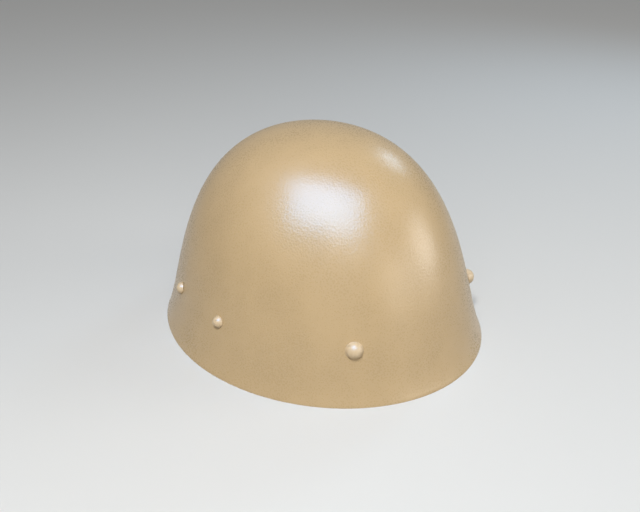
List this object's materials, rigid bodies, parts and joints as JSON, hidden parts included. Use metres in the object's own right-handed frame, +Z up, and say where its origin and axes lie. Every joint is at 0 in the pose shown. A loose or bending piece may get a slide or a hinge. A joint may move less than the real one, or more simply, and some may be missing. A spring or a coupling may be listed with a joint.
{
  "type": "steel helmet",
  "caption": "Visorless steel dome helmet with domed liner rivets, sprung leather liner and a buckled chinstrap tucked inside the rim.",
  "frame": {"origin": "middle of the plane that the rim stands on", "axes": "+Z up through the crown, -Y towards the brow, +X towards the wearer's left ear"},
  "size_m": [0.24, 0.277, 0.1599],
  "materials": {
    "shell_paint": "satin",
    "rivet_paint": "satin",
    "plain_steel": "satin",
    "spring_steel": "satin",
    "band_metal": "satin",
    "grey_felt": "matte",
    "liner_leather": "satin",
    "cotton_cord": "matte",
    "strap_leather": "satin",
    "fitting_steel": "satin"
  },
  "bodies": {
    "helmet": {"helmet_shell": "shell_paint", "front_left_liner_rivet": "rivet_paint", "front_right_liner_rivet": "rivet_paint", "rear_left_liner_rivet": "rivet_paint", "rear_right_liner_rivet": "rivet_paint", "left_chinstrap_rivet": "rivet_paint", "right_chinstrap_rivet": "rivet_paint", "shell_rivet_washers": "plain_steel", "front_left_leaf_spring": "spring_steel", "front_right_leaf_spring": "spring_steel", "rear_left_leaf_spring": "spring_steel", "rear_right_leaf_spring": "spring_steel", "liner_band": "band_metal", "spring_pad_rivets": "plain_steel", "felt_pad": "grey_felt", "leather_liner": "liner_leather", "leather_rivets": "plain_steel", "drawstring": "cotton_cord", "drawstring_knot": "cotton_cord", "left_strap_lug": "fitting_steel", "right_strap_lug": "fitting_steel", "left_pivot_rivet": "fitting_steel", "right_pivot_rivet": "fitting_steel"},
    "chinstrap": {"left_strap_swivel": "fitting_steel", "right_strap_swivel": "fitting_steel", "chinstrap_long": "strap_leather", "chinstrap_short": "strap_leather", "strap_rivet": "fitting_steel", "strap_keeper": "strap_leather", "buckle_frame": "fitting_steel"},
    "buckle_roller": {"buckle_roller": "fitting_steel"},
    "buckle_tongue": {"buckle_tongue": "fitting_steel"}
  },
  "joints": [
    {"name": "chinstrap_swing", "type": "hinge", "parent": "helmet", "child": "chinstrap", "pos_m": [0, 0, 0.024], "axis": [-1, 0, 0], "range_deg": [0, 164]},
    {"name": "roller_spin", "type": "hinge", "parent": "chinstrap", "child": "buckle_roller", "pos_m": [0.08132, 0.06021, 0.01603], "axis": [0, 0.1312, 0.9914], "continuous": true},
    {"name": "tongue_lift", "type": "hinge", "parent": "chinstrap", "child": "buckle_tongue", "pos_m": [0.08922, 0.04417, 0.01816], "axis": [0, -0.1312, -0.9914], "range_deg": [0, 15]}
  ]
}
